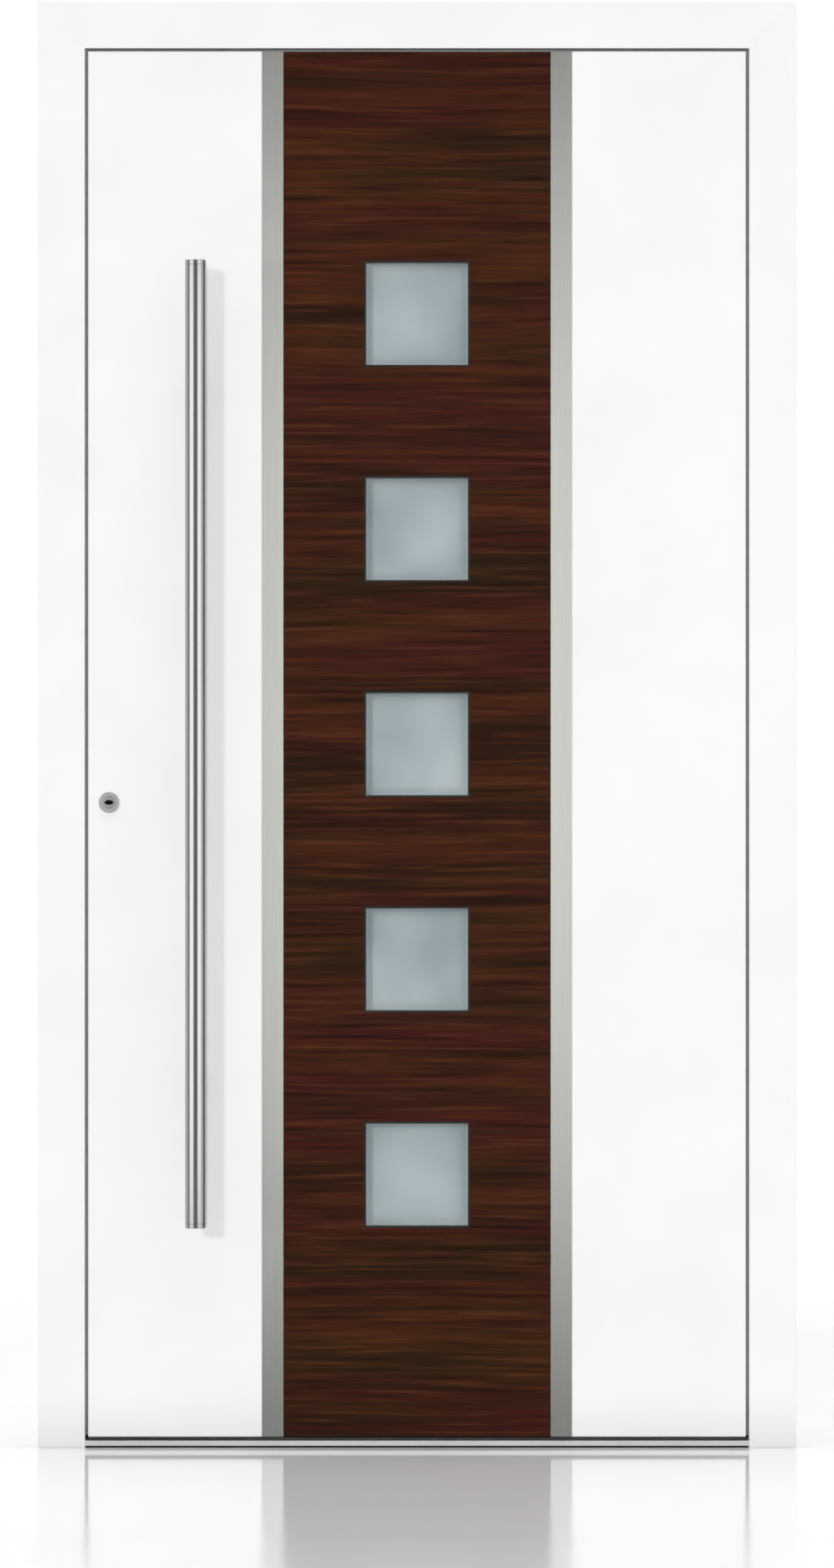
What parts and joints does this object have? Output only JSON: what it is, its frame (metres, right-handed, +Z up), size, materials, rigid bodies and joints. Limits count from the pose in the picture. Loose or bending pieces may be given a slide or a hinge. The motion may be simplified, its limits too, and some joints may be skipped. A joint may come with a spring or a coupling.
{
  "type": "aluminium front door with frame",
  "caption": "Flush white aluminium entrance door in its frame, with a dark wood band, square satin windows, steel strips and a tall pull bar; the leaf swings inwards.",
  "frame": {"origin": "on the floor under the middle of the threshold, half way through the frame's depth", "axes": "+X to the right seen from outside, +Y from outside to inside, +Z up"},
  "size_m": [1.1, 0.211, 2.1],
  "materials": {
    "white_powder_coat": "satin white powder coat",
    "insulating_plastic": "glass-filled polyamide, matt black",
    "black_rubber": "black EPDM",
    "anodised_aluminium": "natural anodised",
    "brushed_stainless": "brushed along its length",
    "hinge_steel": "satin",
    "lock_core_metal": "satin nickel",
    "dark_wood": "dark brown veneer, grain across, satin lacquer",
    "satin_glass": "acid-etched satin",
    "core_foam": "rigid foam"
  },
  "bodies": {
    "frame": {"lock_jamb": "white_powder_coat", "hinge_jamb": "white_powder_coat", "head": "white_powder_coat", "frame_thermal_breaks": "insulating_plastic", "frame_gaskets": "black_rubber", "threshold": "anodised_aluminium", "threshold_break": "insulating_plastic", "strike_plates": "brushed_stainless", "hinge_frame_halves": "hinge_steel", "hinge_pins": "hinge_steel"},
    "leaf": {"lock_stile": "white_powder_coat", "hinge_stile": "white_powder_coat", "top_rail": "white_powder_coat", "bottom_rail": "white_powder_coat", "left_panel": "white_powder_coat", "right_panel": "white_powder_coat", "inside_panel": "white_powder_coat", "glazing_beads": "white_powder_coat", "leaf_thermal_breaks": "insulating_plastic", "drop_seal": "black_rubber", "window_1_lining": "anodised_aluminium", "window_2_lining": "anodised_aluminium", "window_3_lining": "anodised_aluminium", "window_4_lining": "anodised_aluminium", "window_5_lining": "anodised_aluminium", "left_steel_strip": "brushed_stainless", "right_steel_strip": "brushed_stainless", "pull_bar": "brushed_stainless", "pull_bar_caps": "brushed_stainless", "pull_bar_posts": "brushed_stainless", "lock_rosette": "brushed_stainless", "inside_rosettes": "brushed_stainless", "inside_lever": "brushed_stainless", "lock_plate": "brushed_stainless", "hinge_leaf_halves": "hinge_steel", "lock_bolts": "hinge_steel", "wood_panel": "dark_wood", "window_1_glass": "satin_glass", "window_2_glass": "satin_glass", "window_3_glass": "satin_glass", "window_4_glass": "satin_glass", "window_5_glass": "satin_glass", "insulating_core": "core_foam"},
    "lock_core": {"lock_core": "lock_core_metal"}
  },
  "joints": [
    {"name": "leaf_swing", "type": "hinge", "parent": "frame", "child": "leaf", "pos_m": [0.5045, 0.0525, 1.0215], "axis": [0, 0, -1], "range_deg": [0, 110]},
    {"name": "lock_core_turn", "type": "hinge", "parent": "leaf", "child": "lock_core", "pos_m": [-0.447, -0.03, 0.937], "axis": [0, 1, 0], "continuous": true}
  ]
}
